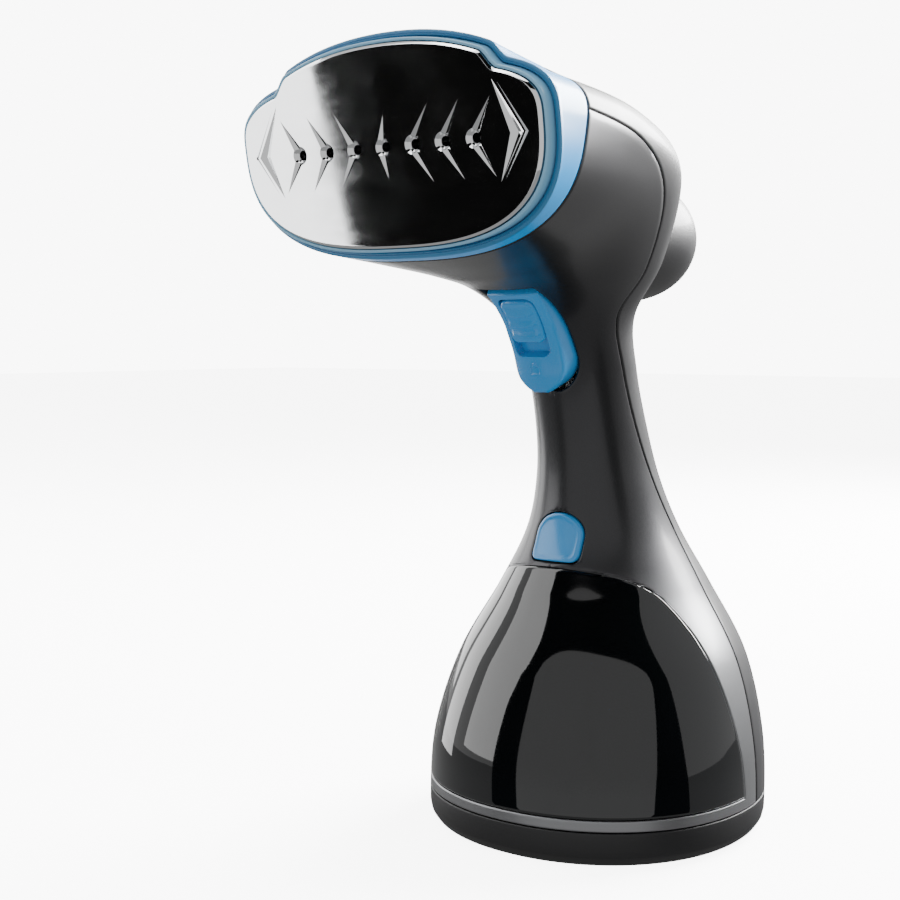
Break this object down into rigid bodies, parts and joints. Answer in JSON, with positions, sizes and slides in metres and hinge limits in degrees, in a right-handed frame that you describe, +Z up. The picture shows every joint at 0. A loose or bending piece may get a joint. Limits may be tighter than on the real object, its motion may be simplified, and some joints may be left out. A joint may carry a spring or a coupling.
{
  "type": "handheld garment steamer",
  "caption": "Handheld garment steamer with a tilted oval steam plate, waisted handle with trigger and lock, and a round base that holds a removable water tank.",
  "frame": {"origin": "centre of the underside of the base, on the surface it stands on", "axes": "+Z up, -Y towards the steam plate, +X to the right when looking along +Y"},
  "size_m": [0.124, 0.1904, 0.2715],
  "materials": {
    "graphite": "satin metallic",
    "cover": "satin",
    "foot": "satin",
    "blue": "satin metallic",
    "pale_blue": "satin",
    "smoke_tank": "clear tinted",
    "mirror_plate": "polished",
    "cast_metal": "as cast",
    "steel": "zinc plated",
    "brass": "turned",
    "black_plastic": "matt",
    "rubber": "matt",
    "natural_plastic": "matt",
    "board": "lacquered"
  },
  "bodies": {
    "root": {"body_shell": "graphite", "back_cover": "cover", "base_foot": "foot", "cord_gland": "cover", "front_bezel": "blue", "heat_shield": "pale_blue", "soleplate": "mirror_plate", "chamber_gasket": "rubber", "steam_chamber": "cast_metal", "heating_element": "steel", "thermostat": "steel", "thermal_fuse": "natural_plastic", "steam_inlet": "brass", "head_frame": "black_plastic", "tank_bay": "black_plastic", "valve_seat": "rubber", "release_spring": "steel", "button_guide": "black_plastic", "trigger_pin": "steel", "trigger_spring": "steel", "micro_switch": "black_plastic", "switch_bracket": "natural_plastic", "pump_body": "natural_plastic", "pump_coil": "black_plastic", "pump_mount_1": "rubber", "pump_mount_2": "rubber", "suction_tube": "natural_plastic", "delivery_tube": "natural_plastic", "control_board": "board", "terminal_block": "natural_plastic", "cover_screw_1": "steel", "cover_screw_2": "steel", "foot_pad_1": "rubber", "base_screw_1": "steel", "chamber_screw_1": "steel", "foot_pad_2": "rubber", "base_screw_2": "steel", "chamber_screw_2": "steel", "foot_pad_3": "rubber", "base_screw_3": "steel", "chamber_screw_3": "steel", "foot_pad_4": "rubber", "base_screw_4": "steel", "chamber_screw_4": "steel"},
    "trigger": {"trigger": "blue"},
    "lock_slider": {"lock_slider": "blue"},
    "release": {"release_button": "blue", "latch_hook": "black_plastic"},
    "tank": {"tank_shell": "smoke_tank", "tank_back": "smoke_tank", "outlet_valve": "natural_plastic"},
    "tank_plug": {"tank_plug": "rubber"}
  },
  "joints": [
    {"name": "trigger_press", "type": "hinge", "parent": "root", "child": "trigger", "pos_m": [0, -0.054, 0.1996], "axis": [1, 0, 0], "range_deg": [0, 5], "stiffness_Nm_per_rad": 1, "springref_deg": -2.86, "deforming": ["trigger_spring"]},
    {"name": "lock_slide", "type": "slide", "parent": "trigger", "child": "lock_slider", "axis": [0, 0.6303, -0.7764], "range_m": [0, 0.004]},
    {"name": "release_press", "type": "slide", "parent": "root", "child": "release", "axis": [0, 1, 0], "range_m": [0, 0.0025], "stiffness_N_per_m": 800, "springref_m": -0.001, "deforming": ["release_spring"]},
    {"name": "tank_slide", "type": "slide", "parent": "root", "child": "tank", "axis": [0, -1, 0], "range_m": [0, 0.09]},
    {"name": "plug_pull", "type": "slide", "parent": "tank", "child": "tank_plug", "axis": [0, 0.9404, 0.3401], "range_m": [0, 0.007]}
  ]
}
